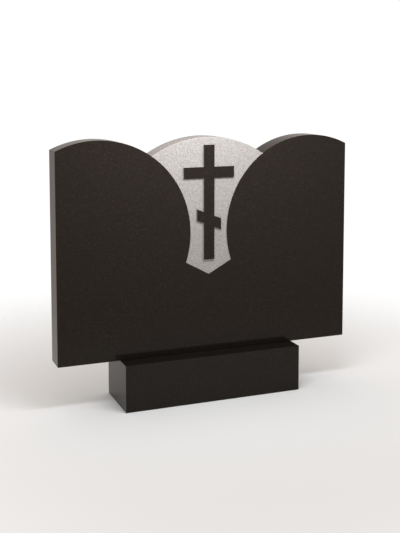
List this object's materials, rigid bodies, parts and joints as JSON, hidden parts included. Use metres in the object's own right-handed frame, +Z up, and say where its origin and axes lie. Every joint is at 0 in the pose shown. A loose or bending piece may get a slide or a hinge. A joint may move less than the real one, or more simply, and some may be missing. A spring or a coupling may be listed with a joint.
{
  "type": "horizontal headstone",
  "caption": "Wide upright granite slab with round lobes along its top and a cross raised in a sunk panel, on a plain block plinth; a grave marker that stands by its own weight.",
  "frame": {"origin": "middle of the plinth's underside, where the headstone stands on its footing", "axes": "+X along the slab's width, to the right as seen from the front; +Y from the front, which carries the cross, to the back; +Z up"},
  "size_m": [1, 0.2, 0.85],
  "materials": {
    "black_granite": "polished"
  },
  "bodies": {
    "root": {"plinth": "black_granite", "stele": "black_granite"}
  },
  "joints": []
}
